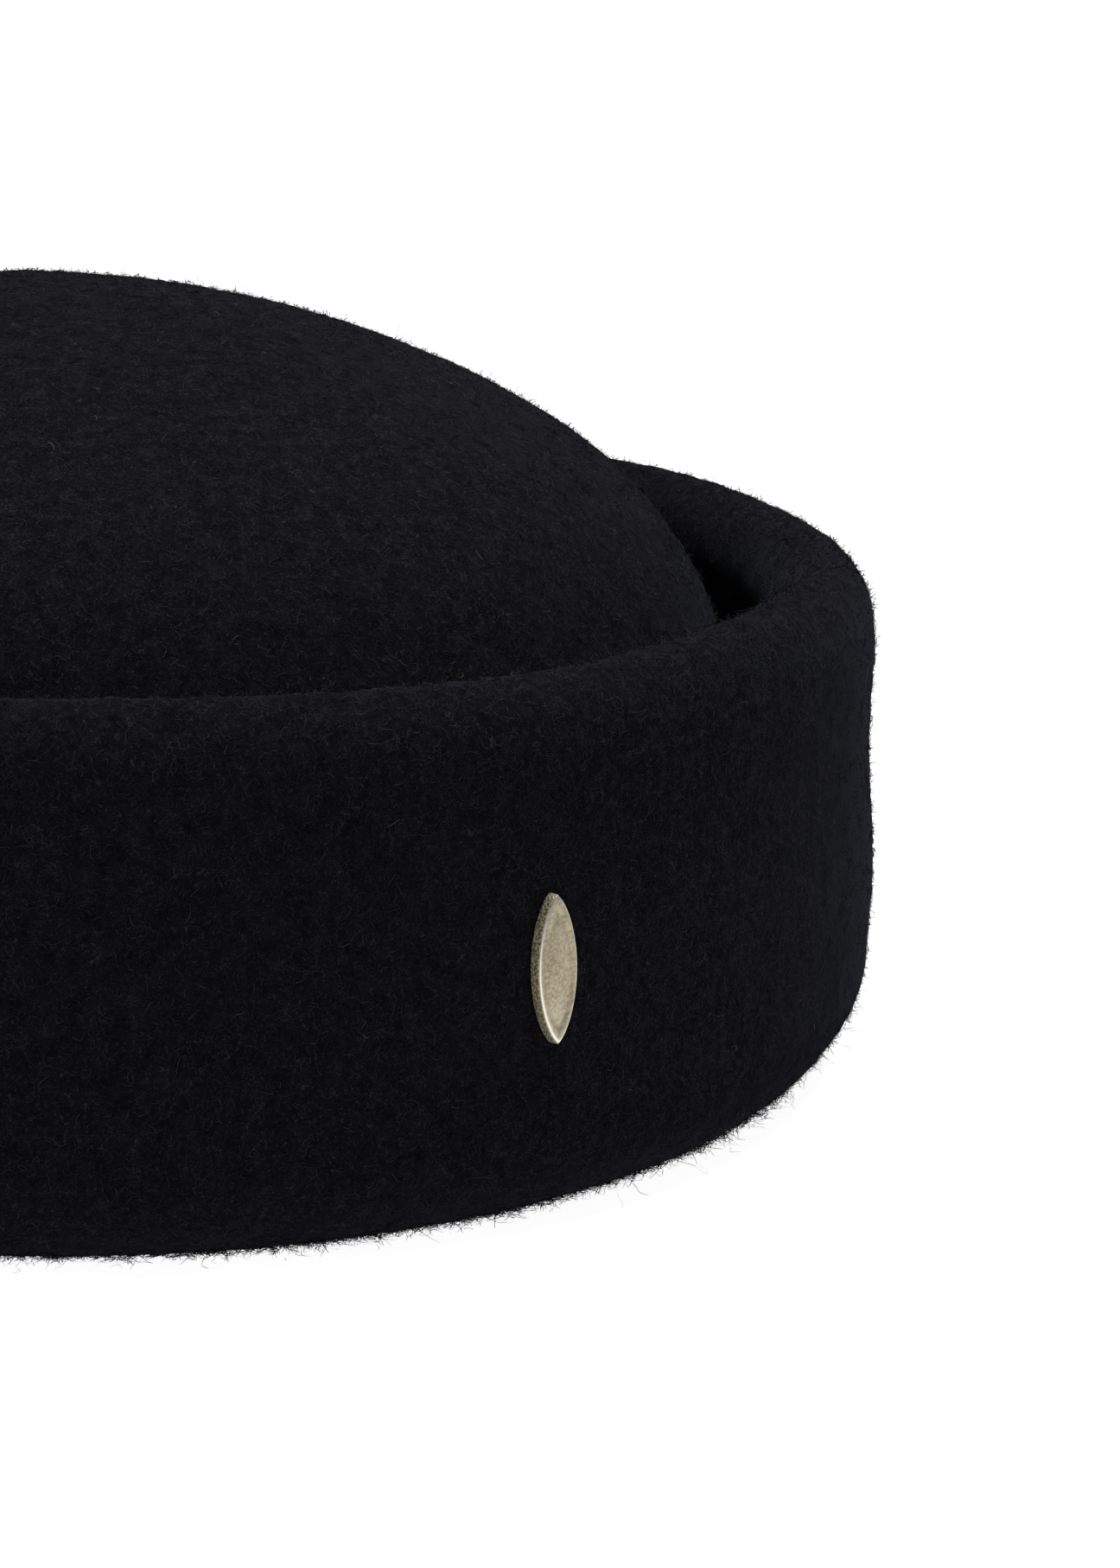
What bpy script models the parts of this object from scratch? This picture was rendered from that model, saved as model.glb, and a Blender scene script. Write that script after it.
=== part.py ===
"""A toque of blocked wool felt, with a turned-up cuff and a small metal pin on the cuff.

The felt is one wall. It comes down from the crown's top, turns out and up at the head opening, stands up as
the cuff, rolls over at the rim and ends in a hem inside the cuff. The front looks along -Y, the width lies
along X, and the hat rests on the flat ring under its bottom fold, at height zero.
"""
import math
from collections import namedtuple

import bmesh
import bpy
from mathutils import Matrix, Vector
from mathutils.geometry import interpolate_bezier

MM = 0.001

# The felt wall
FELT_THICKNESS = 3.0 * MM

# The crown, measured on its outside
CROWN_HALF_WIDTH = 85.0 * MM
CROWN_HALF_LENGTH = 102.0 * MM
CROWN_HEIGHT = 95.8 * MM

# The bottom: a tight turn at the head opening, a flat resting ring, and the fold up to the cuff
TURN_RADIUS = 4.0 * MM
REST_WIDTH = 2.5 * MM
FOLD_HEIGHT = 12.5 * MM
FOLD_FULLNESS = 1.75

# The cuff, measured on its outside. Its reach is the distance that it stands out from the crown.
CUFF_REACH_SIDE = 15.0 * MM
CUFF_REACH_END = 17.5 * MM
CUFF_HEIGHT = 63.4 * MM
CUFF_NECK = 0.4 * MM
NECK_SKEW = 1.6

# The rolled rim and the hem that hangs from it inside the cuff
ROLL_WIDTH = 12.8 * MM
ROLL_DEPTH = 7.8 * MM
HEM_DEPTH = 22.0 * MM
HEM_SLACK = 1.0 * MM

# Slight unevenness of the cuff: the rim rises and dips, and the wall leans in and out
RIM_RISE = 0.35 * MM
RIM_RISE_LOBES = 6
RIM_LEAN = 0.45 * MM
RIM_LEAN_LOBES = 4
RIM_LEAN_START = math.radians(20.0)

# The pin: where it sits on the cuff, and its plate, post and clutch
PIN_TURN = math.radians(-59.0)
PIN_HEIGHT_SHARE = 0.65
PLATE_HEIGHT = 17.0 * MM
PLATE_WIDTH = 5.6 * MM
PLATE_THICKNESS = 1.6 * MM
PLATE_EDGE = 0.35 * MM
PLATE_POINT = 1.45
POST_RADIUS = 0.6 * MM
CLUTCH_RADIUS = 3.5 * MM
CLUTCH_FLANGE = 1.0 * MM
CLUTCH_NECK_RADIUS = 2.2 * MM
CLUTCH_LENGTH = 3.2 * MM
CLUTCH_BORE_DEPTH = 2.3 * MM
GAP = 0.3 * MM

# How finely the round forms are divided
SECTORS = 64
CROWN_STEPS = 2
TURN_STEPS = 3
FOLD_STEPS = 5
WALL_STEPS = 4
ROLL_STEPS = 9
HEM_STEPS = 3
PLATE_SIDES = 28
PLATE_EDGE_STEPS = 2
POST_SIDES = 14
CLUTCH_SIDES = 20
MERGE_DISTANCE = 0.01 * MM
SHARP_ANGLE = math.radians(40.0)

CUFF_HALF_WIDTH = CROWN_HALF_WIDTH + CUFF_REACH_SIDE
CUFF_HALF_LENGTH = CROWN_HALF_LENGTH + CUFF_REACH_END
OPENING_HALF_WIDTH = CROWN_HALF_WIDTH - FELT_THICKNESS
OPENING_HALF_LENGTH = CROWN_HALF_LENGTH - FELT_THICKNESS
HEM_EDGE = CUFF_HEIGHT - HEM_DEPTH
ROLL_HEIGHT = CUFF_HEIGHT - ROLL_DEPTH
PIN_HEIGHT = FOLD_HEIGHT + PIN_HEIGHT_SHARE * (HEM_EDGE - FOLD_HEIGHT)
FACET_RISE = CUFF_HALF_LENGTH * (1 - math.cos(math.pi / SECTORS))

# The crown's section, as shares of its half width or half length, and of its height
CrownRow = namedtuple("CrownRow", "out height")
CROWN_ROWS = (
    CrownRow(out=0.00, height=1.000),
    CrownRow(out=0.20, height=0.985),
    CrownRow(out=0.40, height=0.941),
    CrownRow(out=0.60, height=0.871),
    CrownRow(out=0.75, height=0.796),
    CrownRow(out=0.87, height=0.697),
    CrownRow(out=0.96, height=0.542),
    CrownRow(out=1.00, height=0.300),
)

# One ring of the felt: its half sizes, its height, and its share of the cuff's unevenness
Ring = namedtuple("Ring", "half_width half_length height sway")


def smooth_points(points, steps):
    """Points of one smooth curve through the given ones, with the ends level and upright."""
    first = Vector((-points[1].x, points[1].y))
    last = Vector((points[-1].x, 0.0))
    known = [first, *points, last]
    curve = []
    for before, start, end, after in zip(known, known[1:], known[2:], known[3:]):
        near_start = start + (end - before) / 6
        near_end = end - (after - start) / 6
        curve += interpolate_bezier(start, near_start, near_end, end, steps + 1)[:-1]
    return curve + [points[-1]]


def crown_rings():
    """Rings of the crown's inner side, from its top to where the wall is upright."""
    height = CROWN_HEIGHT - FELT_THICKNESS
    rows = smooth_points([Vector((row.out, row.height)) for row in CROWN_ROWS], CROWN_STEPS)
    return [
        Ring(row.x * OPENING_HALF_WIDTH, row.x * OPENING_HALF_LENGTH, row.y * height, 0.0) for row in rows
    ]


def bottom_ring(across, height):
    """A ring under the hat, at a share of the way from the head opening out to the cuff."""
    half_width = OPENING_HALF_WIDTH + across * (CUFF_HALF_WIDTH - OPENING_HALF_WIDTH)
    half_length = OPENING_HALF_LENGTH + across * (CUFF_HALF_LENGTH - OPENING_HALF_LENGTH)
    return Ring(half_width, half_length, height, 0.0)


def bottom_rings():
    """Rings of the tight turn, the flat resting ring and the fold, from the head opening out."""
    span = CUFF_HALF_WIDTH - OPENING_HALF_WIDTH
    turn_share = TURN_RADIUS / span
    fold_share = 1 - (TURN_RADIUS + REST_WIDTH) / span
    rings = []
    for step in range(TURN_STEPS + 1):
        angle = math.pi / 2 * step / TURN_STEPS
        rings.append(bottom_ring(turn_share * (1 - math.cos(angle)), TURN_RADIUS * (1 - math.sin(angle))))
    for step in range(FOLD_STEPS):
        angle = math.pi / 2 * step / FOLD_STEPS
        across = 1 - fold_share * (1 - math.sin(angle) ** (2 / FOLD_FULLNESS))
        rings.append(bottom_ring(across, FOLD_HEIGHT * (1 - math.cos(angle) ** (2 / FOLD_FULLNESS))))
    return rings


def cuff_ring(inset, height):
    """A ring of the cuff, set in from its outside oval."""
    sway = max(0.0, (height - FOLD_HEIGHT) / (CUFF_HEIGHT - FOLD_HEIGHT))
    return Ring(CUFF_HALF_WIDTH - inset, CUFF_HALF_LENGTH - inset, height, sway)


def wall_ring(height):
    """A ring of the cuff's upright outside, which is drawn in a little below the rim."""
    share = (height - FOLD_HEIGHT) / (ROLL_HEIGHT - FOLD_HEIGHT)
    share = min(max(share, 0.0), 1.0)
    return cuff_ring(CUFF_NECK * math.sin(math.pi * share ** NECK_SKEW) ** 2, height)


def cuff_rings():
    """Rings of the cuff: up its outside, over the rolled rim and down the hem."""
    rings = []
    for step in range(WALL_STEPS):
        rings.append(wall_ring(FOLD_HEIGHT + (ROLL_HEIGHT - FOLD_HEIGHT) * step / WALL_STEPS))
    for step in range(ROLL_STEPS):
        angle = math.pi * step / ROLL_STEPS
        inset = ROLL_WIDTH / 2 * (1 - math.cos(angle))
        rings.append(cuff_ring(inset, ROLL_HEIGHT + ROLL_DEPTH * math.sin(angle)))
    hem_inset = 2 * FELT_THICKNESS + HEM_SLACK
    for step in range(HEM_STEPS + 1):
        share = step / HEM_STEPS
        ease = share * share * (3 - 2 * share)
        inset = ROLL_WIDTH + (hem_inset - ROLL_WIDTH) * ease
        rings.append(cuff_ring(inset, ROLL_HEIGHT + (HEM_EDGE - ROLL_HEIGHT) * share))
    return rings


def ring_point(ring, turn):
    """The point of a ring at an angle about the hat's upright axis, from +X towards +Y."""
    lean = ring.sway * RIM_LEAN * math.cos(RIM_LEAN_LOBES * turn + RIM_LEAN_START)
    rise = -ring.sway * RIM_RISE * math.cos(RIM_RISE_LOBES * turn)
    x = (ring.half_width + lean) * math.cos(turn)
    y = (ring.half_length + lean) * math.sin(turn)
    return Vector((x, y, ring.height + rise))


def wall_frame(turn, height):
    """A frame on the cuff's outside: X along the wall, Y up it, Z out of it."""
    half_turn = PLATE_WIDTH / 2 / CUFF_HALF_WIDTH
    along = ring_point(wall_ring(height), turn + half_turn) - ring_point(wall_ring(height), turn - half_turn)
    low = height - PLATE_HEIGHT / 2
    high = height + PLATE_HEIGHT / 2
    up = ring_point(wall_ring(high), turn) - ring_point(wall_ring(low), turn)
    out = along.cross(up).normalized()
    side = up.cross(out).normalized()
    upright = out.cross(side)
    frame = Matrix((side, upright, out)).transposed().to_4x4()
    frame.translation = ring_point(wall_ring(height), turn)
    return frame


def make_material(name, colour, roughness, metallic):
    """A plain material for one piece."""
    material = bpy.data.materials.new(name)
    material.use_nodes = True
    shader = material.node_tree.nodes["Principled BSDF"]
    shader.inputs["Base Color"].default_value = (*colour, 1.0)
    shader.inputs["Roughness"].default_value = roughness
    shader.inputs["Metallic"].default_value = metallic
    return material


def make_object(name, build, collection, material=None):
    """A mesh object of what a builder function leaves in a new bmesh."""
    bm = bmesh.new()
    build(bm)
    mesh = bpy.data.meshes.new(name)
    bm.to_mesh(mesh)
    bm.free()
    mesh.shade_smooth()
    mesh.set_sharp_from_angle(angle=SHARP_ANGLE)
    piece = bpy.data.objects.new(name, mesh)
    if material:
        mesh.materials.append(material)
    collection.objects.link(piece)
    return piece


def make_cutter(name, build, collection):
    """A solid that only cuts or joins others, and doesn't show."""
    cutter = make_object(name, build, collection)
    cutter.hide_render = True
    cutter.display_type = "WIRE"
    return cutter


def add_boolean(piece, cutter, operation):
    """Cut a piece with another solid, or join that solid to it."""
    modifier = piece.modifiers.new(cutter.name, "BOOLEAN")
    modifier.operation = operation
    modifier.solver = "EXACT"
    modifier.object = cutter


def build_felt(bm):
    """The felt's outer side, from the crown's inside to the hem, as one open surface."""
    rings = crown_rings() + bottom_rings() + cuff_rings()
    bmesh.ops.create_grid(bm, x_segments=SECTORS, y_segments=len(rings) - 1, size=1.0)
    for vert in bm.verts:
        sector = round((vert.co.x + 1) / 2 * SECTORS)
        row = round((vert.co.y + 1) / 2 * (len(rings) - 1))
        vert.co = ring_point(rings[row], 2 * math.pi * sector / SECTORS)
    bmesh.ops.remove_doubles(bm, verts=bm.verts, dist=MERGE_DISTANCE)


def build_plate(bm):
    """The pin's plate: an upright pointed oval with a softened front edge, its back at height zero."""
    bmesh.ops.create_circle(bm, cap_ends=True, segments=PLATE_SIDES, radius=1.0)
    for vert in bm.verts:
        angle = math.atan2(vert.co.y, vert.co.x)
        swell = abs(math.cos(angle)) ** PLATE_POINT
        vert.co.x = math.copysign(PLATE_WIDTH / 2 * swell, math.cos(angle))
        vert.co.y = PLATE_HEIGHT / 2 * math.sin(angle)
    bmesh.ops.recalc_face_normals(bm, faces=bm.faces)
    front = bmesh.ops.extrude_face_region(bm, geom=bm.faces[:])["geom"]
    front_verts = [item for item in front if isinstance(item, bmesh.types.BMVert)]
    bmesh.ops.translate(bm, verts=front_verts, vec=(0.0, 0.0, PLATE_THICKNESS))
    front_edges = [edge for edge in bm.edges if all(vert in front_verts for vert in edge.verts)]
    bmesh.ops.bevel(
        bm, geom=front_edges, offset=PLATE_EDGE, segments=PLATE_EDGE_STEPS, affect="EDGES", profile=0.5,
        material=-1,
    )
    bmesh.ops.recalc_face_normals(bm, faces=bm.faces)


def build_rod(radius, low, high, sides):
    """A builder for an upright round rod between two heights."""
    def build(bm):
        bmesh.ops.create_cone(
            bm, cap_ends=True, segments=sides, radius1=radius, radius2=radius, depth=high - low,
            matrix=Matrix.Translation((0.0, 0.0, (low + high) / 2)),
        )
    return build


def build_clutch_profile(bm):
    """Half the clutch's section: up the outside from its bore's mouth, and down the blind bore."""
    outline = (
        (0.0, CLUTCH_LENGTH),
        (CLUTCH_NECK_RADIUS, CLUTCH_LENGTH),
        (CLUTCH_NECK_RADIUS, CLUTCH_FLANGE),
        (CLUTCH_RADIUS, CLUTCH_FLANGE),
        (CLUTCH_RADIUS, 0.0),
        (POST_RADIUS + GAP, 0.0),
        (POST_RADIUS + GAP, CLUTCH_BORE_DEPTH),
        (0.0, CLUTCH_BORE_DEPTH),
    )
    verts = [bm.verts.new((radius, 0.0, height)) for radius, height in outline]
    for start, end in zip(verts, verts[1:]):
        bm.edges.new((start, end))


def make_felt_body(collection, cutter):
    """The whole felt of the hat, with the small hole for the pin's post."""
    felt = make_material("navy_felt", (0.0055, 0.006, 0.0095), 0.95, 0.0)
    body = make_object("felt_body", build_felt, collection, felt)
    wall = body.modifiers.new("felt_thickness", "SOLIDIFY")
    wall.thickness = FELT_THICKNESS
    wall.offset = -1.0
    wall.use_even_offset = True
    add_boolean(body, cutter, "DIFFERENCE")
    return body


def make_pin(collection, cutters, seat):
    """The pin's plate with its soldered post, and the clutch behind the cuff's wall."""
    brass = make_material("pale_brass", (0.62, 0.52, 0.30), 0.38, 1.0)
    steel = make_material("clutch_steel", (0.55, 0.55, 0.54), 0.35, 1.0)
    plate = make_object("pin_plate", build_plate, collection, brass)
    plate.parent = seat
    plate.location.z = GAP
    behind_wall = -FELT_THICKNESS - FACET_RISE - GAP
    post_end = behind_wall - CLUTCH_BORE_DEPTH + GAP
    post_root = GAP + PLATE_THICKNESS / 2
    post = make_cutter("pin_post", build_rod(POST_RADIUS, post_end, post_root, POST_SIDES), cutters)
    post.parent = seat
    add_boolean(plate, post, "UNION")
    clutch = make_object("pin_clutch", build_clutch_profile, collection, steel)
    turned = clutch.modifiers.new("turned", "SCREW")
    turned.steps = CLUTCH_SIDES
    turned.render_steps = CLUTCH_SIDES
    turned.use_merge_vertices = True
    turned.merge_threshold = MERGE_DISTANCE
    clutch.parent = seat
    clutch.location.z = behind_wall
    clutch.rotation_euler.x = math.pi


def make_toque():
    """The whole hat."""
    hat = bpy.data.collections.new("toque")
    cutters = bpy.data.collections.new("cutters")
    bpy.context.scene.collection.children.link(hat)
    bpy.context.scene.collection.children.link(cutters)
    seat = bpy.data.objects.new("pin_seat", None)
    seat.matrix_world = wall_frame(PIN_TURN, PIN_HEIGHT)
    hat.objects.link(seat)
    reach = FELT_THICKNESS + FACET_RISE + GAP
    hole = make_cutter("post_hole", build_rod(POST_RADIUS + GAP, -reach, reach, POST_SIDES), cutters)
    hole.parent = seat
    make_felt_body(hat, hole)
    make_pin(hat, cutters, seat)
    bpy.context.view_layer.update()


for leftover in list(bpy.data.objects):
    bpy.data.objects.remove(leftover, do_unlink=True)
make_toque()
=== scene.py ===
"""The looks of a toque of blocked wool felt, with a turned-up cuff and a small metal pin on the cuff.

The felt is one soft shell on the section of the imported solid, with finer steps and slight lumps, and short
curly fibres lie and stand on it. The pin's plate gets a border and a crowned face. Lengths are in millimetres
until a mesh is finished, and the script turns them into metres there.
"""

import logging
import math
from collections.abc import Sequence
from dataclasses import dataclass
from enum import Enum
from typing import NamedTuple

import bmesh
import bpy
import numpy as np
from bmesh.types import BMesh, BMFace
from bpy.types import Material, Mesh, Node, NodeSocket as Socket, Object
from mathutils import Matrix, Vector, noise
from mathutils.geometry import interpolate_bezier
from numpy.random import Generator


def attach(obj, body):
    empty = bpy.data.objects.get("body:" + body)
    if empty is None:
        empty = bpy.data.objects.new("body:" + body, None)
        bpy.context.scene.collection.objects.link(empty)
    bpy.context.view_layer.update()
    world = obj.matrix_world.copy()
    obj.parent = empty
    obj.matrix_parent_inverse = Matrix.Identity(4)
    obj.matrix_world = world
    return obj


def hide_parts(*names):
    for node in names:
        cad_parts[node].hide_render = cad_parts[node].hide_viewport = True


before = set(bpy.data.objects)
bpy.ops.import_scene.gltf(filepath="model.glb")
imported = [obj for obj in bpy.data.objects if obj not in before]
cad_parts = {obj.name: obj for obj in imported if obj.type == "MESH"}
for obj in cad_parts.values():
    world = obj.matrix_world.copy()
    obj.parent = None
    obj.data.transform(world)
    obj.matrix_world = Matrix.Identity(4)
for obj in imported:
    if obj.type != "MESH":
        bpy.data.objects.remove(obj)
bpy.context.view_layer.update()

LOG = logging.getLogger("toque")
MM = 0.001
BODY = "root"
FIBRE_MAP = "OFBake"
POLISH = "polish"
STRETCH = "stretch"
WHITE = (1.0, 1.0, 1.0)
SHEEN_TINT = (0.62, 0.70, 0.90, 1.0)
TINY = 1e-9
STRAND_CURL = 0.5
SPAN_SHIFT = 0.37
SPAN_APART = 5.0
SPAN_RANGE = (0.42, 0.62)
LUMP_RANGE = (0.3, 0.7)

Pair = tuple[float, float]
Triple = tuple[float, float, float]


class Ring(NamedTuple):
    """One ring of the felt's guiding side: half sizes and height in millimetres, and its share of sway."""

    half_width: float
    half_length: float
    height: float
    sway: float


class Stretch(Enum):
    """The stretches of the felt, in order from the crown's top to the hem's edge."""

    CROWN = 0
    REST = 1
    FOOT = 2
    FOLD = 3
    WALL = 4
    ROLL = 5
    HEM = 6


class Side(Enum):
    """The two faces of the felt wall."""

    GUIDING = 0
    OTHER = 1


class Strands(NamedTuple):
    """A layer of long thin curved lines: bends to a unit, lines to a bend, a line's half width and a shift.

    The half width is a share of the distance between two lines.
    """

    bends: float
    lines: float
    width: float
    shift: float


class ShaderTree:
    """A material's node tree, with short ways to add nodes and link them."""

    def __init__(self, name: str) -> None:
        """Start a material with a Principled shader.

        Args:
            name: The material's name.
        """
        self.material = bpy.data.materials.new(name)
        self.material.use_nodes = True
        self.nodes = self.material.node_tree.nodes
        self.links = self.material.node_tree.links
        self.shader = self.nodes["Principled BSDF"]

    def set(self, **values: float | tuple[float, ...]) -> None:
        """Set constants on the shader's own sockets. An underscore in a name stands for a space."""
        for name, value in values.items():
            self.shader.inputs[name.replace("_", " ")].default_value = value

    def feed(self, name: str, source: Socket) -> None:
        """Link a socket into one of the shader's inputs."""
        self.links.new(source, self.shader.inputs[name])

    def add(self, kind: str, **settings: object) -> Node:
        """Add a node and set its properties.

        Args:
            kind: The node's Blender type.
            settings: Its properties, by name.

        Returns:
            The node.
        """
        node = self.nodes.new(kind)
        for name, value in settings.items():
            setattr(node, name, value)
        return node

    def object_space(self, scale: float) -> Socket:
        """Object coordinates times a scale, so that 1000 gives millimetres.

        Args:
            scale: The scale.

        Returns:
            The coordinates' socket.
        """
        place = self.add("ShaderNodeTexCoord")
        mapping = self.add("ShaderNodeMapping")
        mapping.inputs["Scale"].default_value = (scale, scale, scale)
        self.links.new(place.outputs["Object"], mapping.inputs["Vector"])
        return mapping.outputs["Vector"]

    def noise(self, place: Socket, scale: float, detail: float = 2.0, distortion: float = 0.0) -> Socket:
        """A noise texture's value at a place.

        Args:
            place: The coordinates.
            scale: How many lumps there are to a unit.
            detail: How many finer layers it has.
            distortion: How far it is curled.

        Returns:
            The value's socket.
        """
        node = self.add("ShaderNodeTexNoise")
        node.inputs["Scale"].default_value = scale
        node.inputs["Detail"].default_value = detail
        node.inputs["Distortion"].default_value = distortion
        self.links.new(place, node.inputs["Vector"])
        return node.outputs["Fac"]

    def remap(self, value: Socket, from_low: float, from_high: float, low: float, high: float) -> Socket:
        """A value moved from one range to another, and held inside it.

        Args:
            value: The value.
            from_low: The low end of its own range.
            from_high: The high end of its own range.
            low: What the low end becomes.
            high: What the high end becomes.

        Returns:
            The new value's socket.
        """
        node = self.add("ShaderNodeMapRange")
        node.inputs["From Min"].default_value = from_low
        node.inputs["From Max"].default_value = from_high
        node.inputs["To Min"].default_value = low
        node.inputs["To Max"].default_value = high
        self.links.new(value, node.inputs["Value"])
        return node.outputs["Result"]

    def combine(
        self, operation: str, first: Socket, second: Socket | float, third: Socket | None = None
    ) -> Socket:
        """Two or three values in one Math node.

        Args:
            operation: The node's operation.
            first: The first value.
            second: The second value, as a socket or a number.
            third: The third value, where the operation has one.

        Returns:
            The result's socket.
        """
        node = self.add("ShaderNodeMath", operation=operation)
        self.links.new(first, node.inputs[0])
        if isinstance(second, float):
            node.inputs[1].default_value = second
        else:
            self.links.new(second, node.inputs[1])
        if third is not None:
            self.links.new(third, node.inputs[2])
        return node.outputs["Value"]

    def shifted(self, place: Socket, shift: float) -> Socket:
        """Coordinates moved aside, so that two textures of one kind differ.

        Args:
            place: The coordinates.
            shift: How far they are moved.

        Returns:
            The moved coordinates' socket.
        """
        node = self.add("ShaderNodeVectorMath", operation="ADD")
        node.inputs[1].default_value = (shift, -shift, 0.5 * shift)
        self.links.new(place, node.inputs[0])
        return node.outputs["Vector"]

    def strands(self, place: Socket, layer: Strands) -> Socket:
        """A layer of strands, 1 along them and 0 between, which fade in and out.

        Args:
            place: The coordinates.
            layer: The strands.

        Returns:
            The value's socket.
        """
        own = self.shifted(place, layer.shift)
        curls = self.noise(own, layer.bends, detail=1.0, distortion=STRAND_CURL)
        field = self.combine("MULTIPLY", curls, layer.lines)
        line = self.remap(self.combine("PINGPONG", field, 0.5), 0.0, layer.width, 1.0, 0.0)
        apart = self.shifted(own, SPAN_SHIFT * layer.shift + SPAN_APART)
        spans = self.noise(apart, layer.bends * 2.0, detail=0.0)
        return self.combine("MULTIPLY", line, self.remap(spans, *SPAN_RANGE, 0.0, 1.0))

    def ramp(self, value: Socket, stops: Sequence[tuple[float, Triple]]) -> Socket:
        """A colour from a value, by a ramp.

        Args:
            value: The value, from 0 to 1.
            stops: The ramp's places and colours.

        Returns:
            The colour's socket.
        """
        node = self.add("ShaderNodeValToRGB")
        elements = node.color_ramp.elements
        while len(elements) < len(stops):
            elements.new(0.5)
        for element, (place, colour) in zip(elements, stops):
            element.position = place
            element.color = (*colour, 1.0)
        self.links.new(value, node.inputs["Fac"])
        return node.outputs["Color"]

    def blend(self, share: Socket, first: Socket, second: Socket | Triple) -> Socket:
        """A colour between two.

        Args:
            share: The second colour's share, from 0 to 1.
            first: The first colour.
            second: The second colour, as a socket or a plain colour.

        Returns:
            The colour's socket.
        """
        node = self.add("ShaderNodeMix", data_type="RGBA")
        self.links.new(share, node.inputs["Factor"])
        self.links.new(first, node.inputs["A"])
        if isinstance(second, tuple):
            node.inputs["B"].default_value = (*second, 1.0)
        else:
            self.links.new(second, node.inputs["B"])
        return node.outputs["Result"]

    def bump(self, height: Socket, depth: float, strength: float, below: Socket | None = None) -> Socket:
        """A bumped normal.

        Args:
            height: The height, from 0 to 1.
            depth: What a height of 1 stands for, in millimetres.
            strength: The share of the bump that is used.
            below: A normal that this one is laid on.

        Returns:
            The normal's socket.
        """
        node = self.add("ShaderNodeBump")
        node.inputs["Distance"].default_value = depth * MM
        node.inputs["Strength"].default_value = strength
        self.links.new(height, node.inputs["Height"])
        if below is not None:
            self.links.new(below, node.inputs["Normal"])
        return node.outputs["Normal"]

    def make_woolly(self, sheen: float, sheen_roughness: float) -> None:
        """Make the surface quite dull, with a faint bluish sheen."""
        self.set(Roughness=1.0, Specular_IOR_Level=0.0, Sheen_Tint=SHEEN_TINT)
        self.set(Sheen_Weight=sheen, Sheen_Roughness=sheen_roughness)


@dataclass(frozen=True)
class NavyFelt:
    """Wool felt, almost black, with a fine tangle of long fibres and a faint blue sheen."""

    shades: tuple[tuple[float, Triple], ...] = (
        (0.08, (0.0024, 0.0023, 0.0032)),
        (0.30, (0.0062, 0.0061, 0.0079)),
        (0.95, (0.0330, 0.0325, 0.0380)),
    )
    layers: tuple[Strands, ...] = (
        Strands(0.40, 16.0, 0.11, 3.0),
        Strands(0.60, 12.0, 0.11, 13.0),
        Strands(0.90, 9.0, 0.13, 29.0),
        Strands(1.50, 6.0, 0.15, 41.0),
    )
    tangle_shade: float = 0.30
    tangle_height: float = 0.5
    tangle_depth: float = 0.07
    tangle_strength: float = 0.8
    cloud_scale: float = 0.45
    cloud_shade: float = 0.13
    lump_depth: float = 0.10
    lump_strength: float = 0.6
    grain_scale: float = 3.0
    grain_shade: float = 0.25
    sheen: float = 0.031
    sheen_roughness: float = 0.28

    def build(self) -> Material:
        """Build the material.

        Returns:
            The felt.
        """
        tree = ShaderTree("navy_felt_dressed")
        place = tree.object_space(1.0 / MM)
        tangle = tree.strands(place, self.layers[0])
        for layer in self.layers[1:]:
            tangle = tree.combine("ADD", tangle, tree.strands(place, layer))
        lumps = tree.noise(place, self.cloud_scale, detail=3.0)
        clouds = tree.remap(lumps, *LUMP_RANGE, 0.0, self.cloud_shade)
        grain = tree.combine("MULTIPLY", tree.noise(place, self.grain_scale), self.grain_shade)
        uneven = tree.combine("ADD", clouds, grain)
        shade = tree.combine("MULTIPLY_ADD", tangle, self.tangle_shade, uneven)
        tree.feed("Base Color", tree.ramp(shade, self.shades))
        broad = tree.bump(lumps, self.lump_depth, self.lump_strength)
        height = tree.combine("MULTIPLY", tangle, self.tangle_height)
        tree.feed("Normal", tree.bump(height, self.tangle_depth, self.tangle_strength, broad))
        tree.make_woolly(self.sheen, self.sheen_roughness)
        tree.set(Diffuse_Roughness=0.6)
        return tree.material


@dataclass(frozen=True)
class WoolFibre:
    """The loose fibres. Each has its own shade, by its height on the map, and is darker in its middle."""

    shades: tuple[tuple[float, Triple], ...] = (
        (0.0, (0.0055, 0.0056, 0.0072)),
        (0.40, (0.0160, 0.0162, 0.0202)),
        (0.975, (0.0265, 0.0270, 0.0320)),
        (0.992, (0.030, 0.020, 0.014)),
        (1.0, (0.100, 0.095, 0.085)),
    )
    middle: Triple = (0.75, 0.75, 0.75)
    sheen: float = 0.025
    sheen_roughness: float = 0.4

    def build(self) -> Material:
        """Build the material.

        Returns:
            The fibres' wool.
        """
        tree = ShaderTree("wool_fibre")
        place = tree.add("ShaderNodeUVMap", uv_map=FIBRE_MAP)
        parts = tree.add("ShaderNodeSeparateXYZ")
        tree.links.new(place.outputs["UV"], parts.inputs["Vector"])
        along = tree.combine("SUBTRACT", parts.outputs["X"], 0.5)
        tips = tree.remap(tree.combine("MULTIPLY", along, along), 0.0, 0.25, 0.0, 1.0)
        mix = tree.add("ShaderNodeMix", data_type="RGBA", blend_type="MULTIPLY")
        mix.inputs["Factor"].default_value = 1.0
        tree.links.new(tree.ramp(parts.outputs["Y"], self.shades), mix.inputs["A"])
        tree.links.new(tree.ramp(tips, [(0.0, self.middle), (1.0, WHITE)]), mix.inputs["B"])
        tree.feed("Base Color", mix.outputs["Result"])
        tree.make_woolly(self.sheen, self.sheen_roughness)
        return tree.material


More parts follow.
